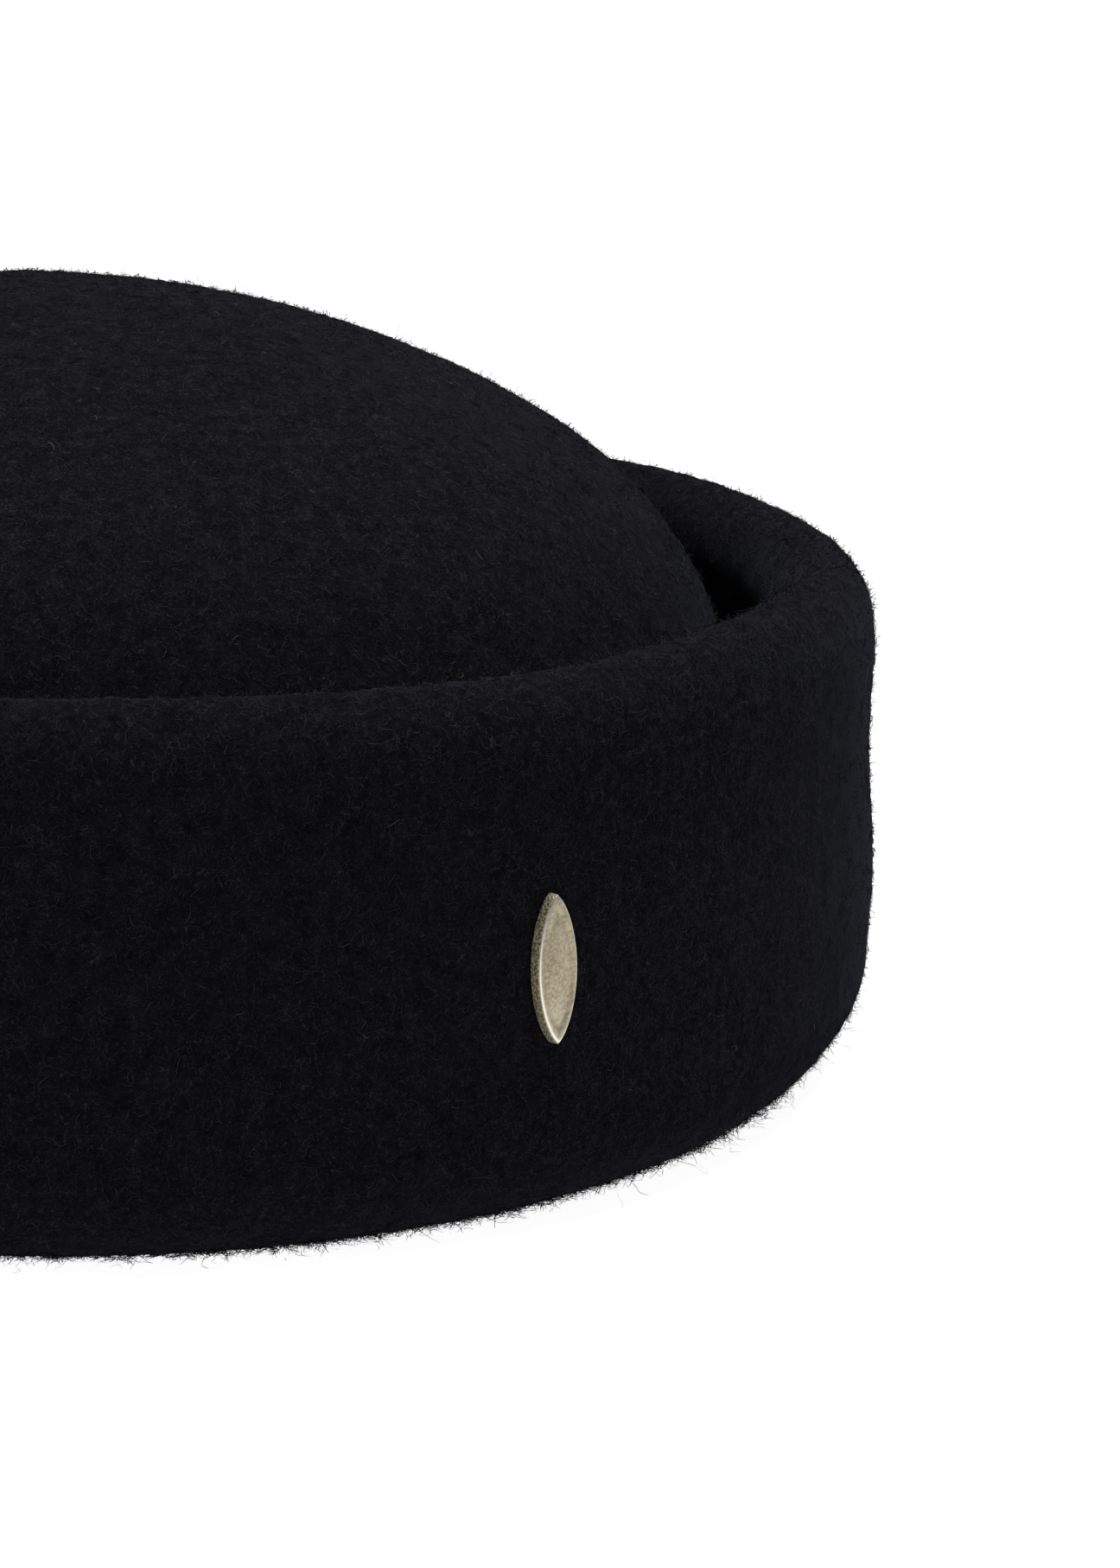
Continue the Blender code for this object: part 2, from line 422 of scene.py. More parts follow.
@dataclass(frozen=True)
class CastBrass:
    """Pale cast brass: a dull mottled face, a bright worn edge and a grainy side.

    The plate's polish tells them apart: about 0 on the face, up to 1 on the edge and -1 on the side.
    """

    bright: Triple = (0.37, 0.33, 0.245)
    dull: Triple = (0.20, 0.165, 0.105)
    polished: Triple = (0.70, 0.68, 0.62)
    side: Triple = (0.55, 0.49, 0.33)
    worn_from: Pair = (0.35, 0.95)
    cast_from: Pair = (-0.8, -0.1)
    bloom_scale: float = 0.30
    bloom_shade: float = 0.6
    mottle_scale: float = 2.6
    mottle_shade: float = 0.5
    grain_scale: float = 4.0
    pit_scale: float = 7.0
    speck_share: float = 0.15
    roughness: Pair = (0.34, 0.48)
    side_roughness: float = 0.20
    edge_smoothness: float = 0.03
    scratches: Strands = Strands(3.0, 5.0, 0.06, 2.0)
    scratch_scale: Triple = (1.0, 1.0, 0.14)
    scratch_turn: Triple = (0.25, 0.18, 0.0)
    scratch_depth: float = 0.008
    pit_depth: float = 0.035
    grain_depth: float = 0.12

    def build(self) -> Material:
        """Build the material.

        Returns:
            The plate's metal.
        """
        tree = ShaderTree("pale_brass_dressed")
        place = tree.object_space(1.0 / MM)
        polish = tree.add("ShaderNodeAttribute", attribute_name=POLISH).outputs["Fac"]
        worn = tree.remap(polish, *self.worn_from, 0.0, 1.0)
        cast = tree.remap(polish, *self.cast_from, 1.0, 0.0)
        bloom = tree.noise(place, self.bloom_scale, detail=3.0, distortion=0.4)
        mottle = tree.noise(place, self.mottle_scale, detail=4.0)
        grain = tree.noise(place, self.grain_scale, detail=3.0)
        spots = tree.remap(mottle, *LUMP_RANGE, 0.0, self.mottle_shade)
        shade = tree.combine("MULTIPLY_ADD", bloom, self.bloom_shade, spots)
        face = tree.ramp(shade, [(0.30, self.dull), (0.72, self.bright)])
        speck = tuple(self.speck_share * part for part in self.side)
        speckled = tree.ramp(grain, [(0.38, speck), (0.62, self.side)])
        tree.feed("Base Color", tree.blend(worn, tree.blend(cast, face, speckled), self.polished))
        plain = tree.remap(mottle, *LUMP_RANGE, *self.roughness)
        rough = tree.combine("MULTIPLY_ADD", cast, self.side_roughness, plain)
        smoother = tree.combine("MULTIPLY", worn, self.edge_smoothness)
        tree.feed("Roughness", tree.combine("SUBTRACT", rough, smoother))
        stretched = tree.add("ShaderNodeMapping")
        stretched.inputs["Scale"].default_value = self.scratch_scale
        stretched.inputs["Rotation"].default_value = self.scratch_turn
        tree.links.new(place, stretched.inputs["Vector"])
        scratches = tree.strands(stretched.outputs["Vector"], self.scratches)
        sandy = tree.bump(tree.combine("MULTIPLY", grain, cast), self.grain_depth, strength=0.8)
        pitted = tree.noise(place, self.pit_scale, detail=3.0)
        pits = tree.bump(pitted, self.pit_depth, strength=0.5, below=sandy)
        tree.feed("Normal", tree.bump(scratches, self.scratch_depth, strength=0.6, below=pits))
        tree.set(Metallic=1.0)
        return tree.material


@dataclass(frozen=True)
class SatinSteel:
    """Plain satin steel of the clutch."""

    light: Triple = (0.60, 0.60, 0.59)
    dark: Triple = (0.42, 0.42, 0.42)
    roughness: Pair = (0.28, 0.42)
    cloud_scale: float = 1.2
    grain_scale: float = 9.0
    grain_depth: float = 0.006

    def build(self) -> Material:
        """Build the material.

        Returns:
            The clutch's steel.
        """
        tree = ShaderTree("clutch_steel_dressed")
        place = tree.object_space(1.0 / MM)
        clouds = tree.noise(place, self.cloud_scale, detail=3.0)
        tree.feed("Base Color", tree.ramp(clouds, [(0.35, self.dark), (0.65, self.light)]))
        tree.feed("Roughness", tree.remap(clouds, *LUMP_RANGE, *self.roughness))
        grain = tree.noise(place, self.grain_scale)
        tree.feed("Normal", tree.bump(grain, self.grain_depth, strength=0.5))
        tree.set(Metallic=1.0)
        return tree.material


@dataclass(frozen=True)
class PaleFloor:
    """A plain pale floor with a soft glow from below, as of a lit table, which keeps shadows faint."""

    colour: Triple = (0.26, 0.26, 0.26)
    unevenness: float = 0.995
    glow: float = 0.96

    def build(self) -> Material:
        """Build the material.

        Returns:
            The floor's surface.
        """
        tree = ShaderTree("pale_floor")
        shade = tree.noise(tree.object_space(1.0), scale=3.0)
        darker = tuple(channel * self.unevenness for channel in self.colour)
        tree.feed("Base Color", tree.ramp(shade, [(LUMP_RANGE[0], darker), (LUMP_RANGE[1], self.colour)]))
        tree.set(Roughness=0.9, Specular_IOR_Level=0.2, Emission_Strength=self.glow)
        return tree.material


@dataclass(frozen=True)
class FeltSection:
    """The section of the felt and how it runs round the hat. It repeats the solid's own sizes."""

    thickness: float = 3.0
    crown_half_width: float = 85.0
    crown_half_length: float = 102.0
    crown_height: float = 95.8
    turn_radius: float = 4.0
    rest_width: float = 2.5
    fold_height: float = 12.5
    fold_fullness: float = 1.75
    reach_side: float = 15.0
    reach_end: float = 17.5
    cuff_height: float = 63.4
    neck: float = 0.4
    neck_skew: float = 1.6
    roll_width: float = 12.8
    roll_depth: float = 7.8
    hem_depth: float = 22.0
    hem_slack: float = 1.0
    rim_rise: float = 0.35
    rise_lobes: int = 6
    rim_lean: float = 0.45
    lean_lobes: int = 4
    lean_start: float = math.radians(20.0)
    crown_rows: tuple[Pair, ...] = (
        (0.00, 1.000), (0.20, 0.985), (0.40, 0.941), (0.60, 0.871),
        (0.75, 0.796), (0.87, 0.697), (0.96, 0.542), (1.00, 0.300),
    )

    @property
    def half_width(self) -> float:
        """The cuff's outside half width."""
        return self.crown_half_width + self.reach_side

    @property
    def half_length(self) -> float:
        """The cuff's outside half length."""
        return self.crown_half_length + self.reach_end

    @property
    def opening(self) -> Pair:
        """The head opening's half width and half length."""
        return self.crown_half_width - self.thickness, self.crown_half_length - self.thickness

    @property
    def roll_height(self) -> float:
        """The height at which the wall starts to roll over."""
        return self.cuff_height - self.roll_depth

    @property
    def hem_edge(self) -> float:
        """The height of the hem's edge inside the cuff."""
        return self.cuff_height - self.hem_depth

    def crown_rings(self, steps: int) -> list[Ring]:
        """Rings of the crown's inner side, from its top to where the wall is upright.

        Args:
            steps: How many rings there are between two of the crown's rows.

        Returns:
            The rings, without the last row, which the bottom starts with.
        """
        rows = [Vector(row) for row in self.crown_rows]
        first = Vector((-rows[1].x, rows[1].y))
        last = Vector((rows[-1].x, 0.0))
        known = [first, *rows, last]
        curve: list[Vector] = []
        for before, start, end, after in zip(known, known[1:], known[2:], known[3:]):
            near_start = start + (end - before) / 6
            near_end = end - (after - start) / 6
            curve += interpolate_bezier(start, near_start, near_end, end, steps + 1)[:-1]
        curve.append(rows[-1])
        width, length = self.opening
        height = self.crown_height - self.thickness
        return [Ring(point.x * width, point.x * length, point.y * height, 0.0) for point in curve]

    def bottom_ring(self, across: float, height: float) -> Ring:
        """A ring under the hat, between the head opening and the cuff's outside.

        Args:
            across: The share of the way from the opening out to the cuff.
            height: The ring's height.

        Returns:
            The ring.
        """
        width, length = self.opening
        half_width = width + across * (self.half_width - width)
        half_length = length + across * (self.half_length - length)
        return Ring(half_width, half_length, height, 0.0)

    def rest_rings(self, turn_steps: int, rest_steps: int) -> list[Ring]:
        """Rings of the tight turn at the head opening and of the flat ring that the hat rests on.

        Args:
            turn_steps: How many rings the turn has.
            rest_steps: How many rings the flat ring has.

        Returns:
            The rings, from the inside out.
        """
        span = self.half_width - self.opening[0]
        turn_share = self.turn_radius / span
        rest_share = self.rest_width / span
        rings = []
        for step in range(turn_steps):
            angle = math.pi / 2 * step / turn_steps
            height = self.turn_radius * (1 - math.sin(angle))
            rings.append(self.bottom_ring(turn_share * (1 - math.cos(angle)), height))
        for step in range(rest_steps):
            rings.append(self.bottom_ring(turn_share + rest_share * step / rest_steps, 0.0))
        return rings

    def fold_rings(self, steps: int) -> list[Ring]:
        """Rings of the fold, from the resting ring out to the foot of the cuff's wall.

        Args:
            steps: How many rings there are.

        Returns:
            The rings, from the inside out.
        """
        share = 1 - (self.turn_radius + self.rest_width) / (self.half_width - self.opening[0])
        power = 2 / self.fold_fullness
        rings = []
        for step in range(steps):
            angle = math.pi / 2 * step / steps
            across = 1 - share * (1 - math.sin(angle) ** power)
            rings.append(self.bottom_ring(across, self.fold_height * (1 - math.cos(angle) ** power)))
        return rings

    def cuff_ring(self, inset: float, height: float) -> Ring:
        """A ring of the cuff, set in from its outside oval."""
        sway = max(0.0, (height - self.fold_height) / (self.cuff_height - self.fold_height))
        return Ring(self.half_width - inset, self.half_length - inset, height, sway)

    def wall_ring(self, height: float) -> Ring:
        """A ring of the cuff's upright outside, which is drawn in a little below the rim.

        Args:
            height: The ring's height.

        Returns:
            The ring.
        """
        share = (height - self.fold_height) / (self.roll_height - self.fold_height)
        share = min(max(share, 0.0), 1.0)
        return self.cuff_ring(self.neck * math.sin(math.pi * share**self.neck_skew) ** 2, height)

    def roll_rings(self, steps: int) -> list[Ring]:
        """Rings over the rolled rim.

        Args:
            steps: How many rings there are.

        Returns:
            The rings, from the outside in.
        """
        rings = []
        for step in range(steps):
            angle = math.pi * step / steps
            inset = self.roll_width / 2 * (1 - math.cos(angle))
            rings.append(self.cuff_ring(inset, self.roll_height + self.roll_depth * math.sin(angle)))
        return rings

    def hem_rings(self, steps: int) -> list[Ring]:
        """Rings down the hem to its edge inside the cuff.

        Args:
            steps: How many steps there are down the hem.

        Returns:
            The rings, with one at each end.
        """
        edge_inset = 2 * self.thickness + self.hem_slack
        rings = []
        for step in range(steps + 1):
            share = step / steps
            ease = share * share * (3 - 2 * share)
            inset = self.roll_width + (edge_inset - self.roll_width) * ease
            rings.append(self.cuff_ring(inset, self.roll_height + (self.hem_edge - self.roll_height) * share))
        return rings

    def point(self, ring: Ring, turn: float) -> Vector:
        """A point of a ring.

        Args:
            ring: The ring.
            turn: The angle about the hat's upright axis, from +X towards +Y.

        Returns:
            The point, in millimetres.
        """
        lean = ring.sway * self.rim_lean * math.cos(self.lean_lobes * turn + self.lean_start)
        rise = -ring.sway * self.rim_rise * math.cos(self.rise_lobes * turn)
        x = (ring.half_width + lean) * math.cos(turn)
        y = (ring.half_length + lean) * math.sin(turn)
        return Vector((x, y, ring.height + rise))

    def wall_frame(self, turn: float, height: float, width: float, tall: float) -> Matrix:
        """A frame on the cuff's outside, in millimetres: X along the wall, Y up it, Z out of it.

        Args:
            turn: The angle about the hat's upright axis.
            height: The height of the frame's middle.
            width: The width of what sits there.
            tall: The height of what sits there.

        Returns:
            The frame's matrix.
        """
        half_turn = width / 2 / self.half_width
        here = self.wall_ring(height)
        above = self.wall_ring(height + tall / 2)
        below = self.wall_ring(height - tall / 2)
        along = self.point(here, turn + half_turn) - self.point(here, turn - half_turn)
        up = self.point(above, turn) - self.point(below, turn)
        out = along.cross(up).normalized()
        side = up.cross(out).normalized()
        seat = Matrix((side, out.cross(side), out)).transposed().to_4x4()
        seat.translation = self.point(here, turn)
        return seat


def finish_piece(name: str, bm: BMesh, material: Material) -> Object:
    """Make an object of a bmesh in millimetres, at the origin and in metres.

    Args:
        name: The object's name.
        bm: The shape, which is freed.
        material: What it is dressed with.

    Returns:
        The object, linked to the scene.
    """
    bmesh.ops.scale(bm, vec=(MM, MM, MM), verts=bm.verts)
    mesh = bpy.data.meshes.new(name)
    bm.to_mesh(mesh)
    bm.free()
    mesh.shade_smooth()
    mesh.materials.append(material)
    piece = bpy.data.objects.new(name, mesh)
    bpy.context.scene.collection.objects.link(piece)
    return piece


@dataclass
class FeltShell:
    """The whole felt as one shell: crown, bottom fold, cuff, rolled rim and hem."""

    section: FeltSection
    sectors: int = 380
    crown_steps: int = 7
    turn_steps: int = 5
    rest_steps: int = 2
    foot_steps: int = 5
    fold_steps: int = 12
    wall_steps: int = 20
    roll_steps: int = 20
    hem_steps: int = 10
    lump_height: float = 0.22
    lump_span: float = 26.0
    dimple_height: float = 0.24
    dimple_span: float = 4.5
    steady_height: float = 5.0
    crown_swell: float = 1.5
    crown_swell_middle: float = -12.0
    crown_swell_reach: Pair = (16.0, 40.0)
    belly: float = 0.8
    belly_height: float = 25.0
    belly_reach: float = 10.0
    belly_plain: float = 0.4
    merge_distance: float = 0.01

    def rings(self) -> list[tuple[Stretch, Ring]]:
        """All rings with the stretch that each belongs to.

        Returns:
            The rings, from the crown's top to the hem's edge.
        """
        section = self.section
        rise = section.roll_height - section.fold_height
        heights = [section.fold_height + rise * step / self.wall_steps for step in range(self.wall_steps)]
        folds = section.fold_rings(self.fold_steps)
        stretches = (
            (Stretch.CROWN, section.crown_rings(self.crown_steps)),
            (Stretch.REST, section.rest_rings(self.turn_steps, self.rest_steps)),
            (Stretch.FOOT, folds[:self.foot_steps]),
            (Stretch.FOLD, folds[self.foot_steps:]),
            (Stretch.WALL, [section.wall_ring(height) for height in heights]),
            (Stretch.ROLL, section.roll_rings(self.roll_steps)),
            (Stretch.HEM, section.hem_rings(self.hem_steps)),
        )
        return [(stretch, ring) for stretch, rings in stretches for ring in rings]

    def lump(self, place: Vector) -> float:
        """How far the felt stands out at a place.

        Args:
            place: The place, in millimetres.

        Returns:
            The height of the lumps there, in millimetres.
        """
        steady = min(max(place.z / self.steady_height, 0.0), 1.0)
        broad = noise.noise(place / self.lump_span)
        small = noise.noise(place / self.dimple_span)
        return steady * (self.lump_height * broad + self.dimple_height * small)

    def swell(self, stretch: Stretch, place: Vector) -> float:
        """How far the felt moves to swell the crown's middle and the cuff's sides.

        The guiding side's normals point into the hat in the crown and out of it on the cuff.

        Args:
            stretch: The stretch of the felt.
            place: The place, in millimetres.

        Returns:
            The move along the guiding side's normal, in millimetres.
        """
        if stretch is Stretch.CROWN:
            reach_x, reach_y = self.crown_swell_reach
            away = ((place.x - self.crown_swell_middle) / reach_x) ** 2 + (place.y / reach_y) ** 2
            return -self.crown_swell * math.exp(-away)
        if stretch in (Stretch.FOLD, Stretch.WALL):
            sideways = min(abs(place.x) / self.section.half_width, 1.0) ** 4
            rise = min(max((place.z - self.steady_height) / self.steady_height, 0.0), 1.0)
            peak = math.exp(-(((place.z - self.belly_height) / self.belly_reach) ** 2))
            return sideways * rise * (self.belly_plain + self.belly * peak)
        return 0.0

    def build(self, material: Material) -> Object:
        """Build the shell with its wall.

        Args:
            material: The felt.

        Returns:
            The shell's object, in which each point keeps the number of its stretch.
        """
        rings = self.rings()
        bm = bmesh.new()
        stretch_layer = bm.verts.layers.int.new(STRETCH)
        bmesh.ops.create_grid(bm, x_segments=self.sectors, y_segments=len(rings) - 1, size=1.0)
        for vert in bm.verts:
            sector = round((vert.co.x + 1) / 2 * self.sectors)
            row = round((vert.co.y + 1) / 2 * (len(rings) - 1))
            vert.co = self.section.point(rings[row][1], 2 * math.pi * sector / self.sectors)
            vert[stretch_layer] = rings[row][0].value
        bmesh.ops.remove_doubles(bm, verts=bm.verts, dist=self.merge_distance)
        bm.normal_update()
        moves = []
        for vert in bm.verts:
            away = self.lump(vert.co) + self.swell(Stretch(vert[stretch_layer]), vert.co)
            moves.append((vert, vert.normal * away))
        for vert, move in moves:
            vert.co += move
        piece = finish_piece("felt_shell", bm, material)
        wall = piece.modifiers.new("felt_thickness", "SOLIDIFY")
        wall.thickness = self.section.thickness * MM
        wall.offset = -1.0
        wall.use_even_offset = True
        return piece


@dataclass(frozen=True)
class FibreStyle:
    """One kind of fibre: its length, width, curl and how far it stands off, in millimetres.

    A rooted one stands up from its first end, and any other lies in an arch. The palest shade is a share of
    the scale of shades, and the density is in fibres to a square millimetre, for each patch in turn.
    """

    name: str
    length: float
    width: float
    curl: float
    lift: float
    rooted: bool
    segments: int
    palest: float
    density: tuple[float, ...]


class FuzzPatch(NamedTuple):
    """One face of one stretch of the felt."""

    stretch: Stretch
    side: Side


class Sown(NamedTuple):
    """Fibres' roots in millimetres, the felt's normals there and the strength of its tufts, from 0 to 1."""

    roots: np.ndarray
    ups: np.ndarray
    tufts: np.ndarray


@dataclass
class Fuzz:
    """Short curly fibres all over the felt, in loose tufts, joined into a few meshes of narrow ribbons."""

    seed: int = 7
    most_faces: int = 96000
    shades: int = 256
    speck_rarity: float = 2.2
    tuft_span: float = 1.5
    tuft_middle: float = 0.5
    tuft_contrast: float = 1.3
    tuft_least: float = 0.05
    length_spread: Pair = (0.5, 1.5)
    width_spread: Pair = (0.7, 1.3)
    curl_share: float = 0.6
    lift_plain: float = 0.3
    lift_tufted: float = 1.5
    lift_shape: float = 3.0
    lift_scale: float = 0.33
    rise_power: Pair = (0.7, 1.5)
    sunk: float = 0.05
    lowest: float = 0.06
    lowest_spread: Pair = (1.0, 5.0)
    twist: float = 0.9
    taper: float = 0.55
    patches: tuple[FuzzPatch, ...] = (
        FuzzPatch(Stretch.CROWN, Side.OTHER),
        *(
            FuzzPatch(stretch, Side.GUIDING) for stretch in (
                Stretch.WALL, Stretch.ROLL, Stretch.FOOT, Stretch.FOLD, Stretch.CROWN, Stretch.HEM,
            )
        ),
    )
    styles: tuple[FibreStyle, ...] = (
        FibreStyle(
            "felt_curls", length=1.6, width=0.065, curl=0.95, lift=0.16, rooted=False, segments=3,
            palest=1.0, density=(0.80, 0.75, 0.90, 0.40, 0.70, 0.10, 0.20),
        ),
        FibreStyle(
            "loose_fibres", length=1.1, width=0.065, curl=1.0, lift=0.42, rooted=True, segments=5,
            palest=0.99, density=(0.55, 0.45, 1.20, 2.00, 0.90, 0.03, 0.10),
        ),
        FibreStyle(
            "foot_curls", length=2.4, width=0.085, curl=0.85, lift=0.45, rooted=True, segments=7,
            palest=0.80, density=(0.0, 0.0, 0.0, 2.60, 0.0, 0.0, 0.0),
        ),
        FibreStyle(
            "long_fibres", length=3.2, width=0.055, curl=0.80, lift=0.90, rooted=True, segments=11,
            palest=0.90, density=(0.02, 0.02, 0.06, 0.90, 0.10, 0.0, 0.0),
        ),
    )

    def build(self, shell: Object, wool: Material) -> list[Object]:
        """Build the fuzz on a finished shell.

        Args:
            shell: The felt's shell, with its wall as a modifier.
            wool: The fibres' material.

        Returns:
            The pieces of fuzz.
        """
        rng = np.random.default_rng(self.seed)
        covers = self.covers(shell)
        pieces: list[Object] = []
        for style in self.styles:
            sowings = zip(covers, style.density)
            parts = [self.sow(*cover, density, rng) for cover, density in sowings if density]
            sown = Sown(*(np.concatenate(values) for values in zip(*parts)))
            groups = math.ceil(len(sown.roots) * style.segments / self.most_faces)
            for number, group in enumerate(np.array_split(np.arange(len(sown.roots)), groups)):
                some = Sown(*(values[group] for values in sown))
                pieces.append(self.ribbons(f"{style.name}_{number + 1}", style, some, rng, wool))
        return pieces

    def covers(self, shell: Object) -> list[tuple[np.ndarray, np.ndarray]]:
        """The triangles that fibres are sown on.

        Args:
            shell: The felt's shell.

        Returns:
            The corners of the triangles, in millimetres, and the normals at those corners, for each patch.
        """
        solid = shell.evaluated_get(bpy.context.evaluated_depsgraph_get())
        mesh = solid.to_mesh()
        mesh.calc_loop_triangles()
        places = read_vectors(mesh.vertices, "co") / MM
        normals = read_vectors(mesh.vertices, "normal")
        corners = np.zeros(len(mesh.loop_triangles) * 3, np.int32)
        mesh.loop_triangles.foreach_get("vertices", corners)
        corners = corners.reshape(-1, 3)
        stretch = np.zeros(len(mesh.vertices), np.int32)
        mesh.attributes[STRETCH].data.foreach_get("value", stretch)
        solid.to_mesh_clear()
        guiding = corners < len(shell.data.vertices)
        sides = {Side.GUIDING: guiding.all(axis=1), Side.OTHER: ~guiding.any(axis=1)}
        covers = []
        for patch in self.patches:
            cover = corners[sides[patch.side] & (stretch[corners].max(axis=1) == patch.stretch.value)]
            covers.append((places[cover], normals[cover]))
        return covers

    def sow(self, corners: np.ndarray, normals: np.ndarray, density: float, rng: Generator) -> Sown:
        """Sow roots over triangles, more of them where the felt is tufted.

        Args:
            corners: The corners of the triangles, in millimetres.
            normals: The normals at those corners.
            density: The roots to a square millimetre.
            rng: The source of randomness.

        Returns:
            The roots that are kept. About half are, so twice as many are sown.
        """
        spans = np.cross(corners[:, 1] - corners[:, 0], corners[:, 2] - corners[:, 0])
        areas = np.linalg.norm(spans, axis=1) / 2
        count = round(float(areas.sum()) * density * 2)
        picked = rng.choice(len(areas), size=count, p=areas / areas.sum())
        weights = rng.dirichlet((1.0, 1.0, 1.0), size=count)
        roots = np.einsum("nk,nkd->nd", weights, corners[picked])
        ups = unit(np.einsum("nk,nkd->nd", weights, normals[picked]))
        tufts = np.array([noise.noise(Vector(root) / self.tuft_span) for root in roots])
        tufts = np.clip(self.tuft_middle + self.tuft_contrast * tufts, self.tuft_least, 1.0)
        kept = rng.uniform(0.0, 1.0, count) < tufts
        return Sown(roots[kept], ups[kept], tufts[kept])

    def ribbons(self, name: str, style: FibreStyle, sown: Sown, rng: Generator, wool: Material) -> Object:
        """One mesh of narrow ribbons, one for each root.

        Args:
            name: The piece's name.
            style: The kind of fibre.
            sown: Where the fibres start or, for lying ones, have their middle.
            rng: The source of randomness.
            wool: The fibres' material.

        Returns:
            The piece.
        """
        count = len(sown.roots)
        steps = style.segments
        path = self.paths(style, sown, rng)
        share = np.linspace(0.0, 1.0, steps + 1)[None, :]
        taper = 1.0 - self.taper * np.abs(2.0 * share - 1.0) ** 3
        aside = self.sideways(path, sown.ups, rng)
        half = (style.width * rng.uniform(*self.width_spread, count))[:, None] * taper / 2
        offset = aside * half[:, :, None]
        points = np.stack([path - offset, path + offset], axis=2).reshape(-1, 3) * MM
        base = (np.arange(count) * (steps + 1) * 2)[:, None] + np.arange(steps)[None, :] * 2
        quads = np.stack([base, base + 2, base + 3, base + 1], axis=2).reshape(-1, 4)
        mesh = mesh_of_quads(name, points, quads, self.map_places(style, count, rng))
        mesh.materials.append(wool)
        piece = bpy.data.objects.new(name, mesh)
        bpy.context.scene.collection.objects.link(piece)
        return piece

    def paths(self, style: FibreStyle, sown: Sown, rng: Generator) -> np.ndarray:
        """The middle line of each fibre, never below the floor.

        Args:
            style: The kind of fibre.
            sown: Where the fibres are.
            rng: The source of randomness.

        Returns:
            A row of points for each fibre, in millimetres.
        """
        count = len(sown.roots)
        steps = style.segments
        ahead = unit(np.cross(sown.ups, rng.normal(size=(count, 3))))
        aside = np.cross(sown.ups, ahead)
        length = style.length * rng.uniform(*self.length_spread, count)
        bend = rng.normal(0.0, 1.0, count) * style.curl * self.curl_share
        wander = rng.normal(0.0, 1.0, (count, steps)) * style.curl * self.curl_share
        angle = np.cumsum(bend[:, None] + wander, axis=1)
        step = (length / steps)[:, None]
        first = np.zeros((count, 1))
        forward = np.concatenate([first, np.cumsum(np.cos(angle) * step, axis=1)], axis=1)
        across = np.concatenate([first, np.cumsum(np.sin(angle) * step, axis=1)], axis=1)
        share = np.linspace(0.0, 1.0, steps + 1)[None, :]
        spread = rng.gamma(self.lift_shape, self.lift_scale, count)
        lift = (style.lift * (self.lift_plain + self.lift_tufted * sown.tufts) * spread)[:, None]
        if style.rooted:
            height = share ** rng.uniform(*self.rise_power, (count, 1)) * lift - self.sunk
        else:
            forward -= forward[:, steps // 2][:, None]
            across -= across[:, steps // 2][:, None]
            height = np.sin(math.pi * share) * lift - self.sunk
        path = (
            sown.roots[:, None, :]
            + forward[:, :, None] * ahead[:, None, :]
            + across[:, :, None] * aside[:, None, :]
            + height[:, :, None] * sown.ups[:, None, :]
        )
        lowest = self.lowest * rng.uniform(*self.lowest_spread, (count, 1))
        path[:, :, 2] = np.maximum(path[:, :, 2], lowest)
        return path

    def sideways(self, path: np.ndarray, ups: np.ndarray, rng: Generator) -> np.ndarray:
        """The way each ribbon's width runs: along the felt, then twisted.

        Args:
            path: The fibres' middle lines.
            ups: The felt's normals at their roots.
            rng: The source of randomness.

        Returns:
            A direction for each point of each line.
        """
        count, points, _ = path.shape
        tangent = unit(np.gradient(path, axis=1))
        flat = unit(np.cross(ups[:, None, :], tangent))
        raised = np.cross(tangent, flat)
        share = np.linspace(0.0, 1.0, points)[None, :]
        start = rng.uniform(-self.twist, self.twist, (count, 1))
        turn = start + share * rng.uniform(-1.0, 1.0, (count, 1))
        return flat * np.cos(turn)[:, :, None] + raised * np.sin(turn)[:, :, None]

    def map_places(self, style: FibreStyle, count: int, rng: Generator) -> np.ndarray:
        """Places on the fibres' map: a fibre runs across it, in a narrow band at the height of its shade.

        Args:
            style: The kind of fibre.
            count: How many fibres there are.
            rng: The source of randomness.

        Returns:
            A place for each corner of each face.
        """
        steps = style.segments
        shade = np.floor(rng.uniform(0.0, 1.0, count) ** self.speck_rarity * self.shades * style.palest)
        along = np.tile(np.linspace(0.0, 1.0, steps + 1), (count, 1))
        left, right = along[:, :-1], along[:, 1:]
        low = np.repeat((shade / self.shades)[:, None], steps, axis=1)
        high = low + 1.0 / self.shades
        across = np.stack([left, right, right, left], axis=2)
        upward = np.stack([low, low, high, high], axis=2)
        return np.stack([across, upward], axis=3).reshape(-1, 2)


def read_vectors(items: bpy.types.bpy_prop_collection, name: str) -> np.ndarray:
    """One vector of each item of a mesh.

    Args:
        items: The mesh's items.
        name: The vector's name.

    Returns:
        The vectors, as rows of an array.
    """
    values = np.zeros(len(items) * 3, np.float32)
    items.foreach_get(name, values)
    return values.reshape(-1, 3).astype(float)


def unit(vectors: np.ndarray) -> np.ndarray:
    """Vectors brought to a length of one."""
    return vectors / np.maximum(np.linalg.norm(vectors, axis=-1, keepdims=True), TINY)


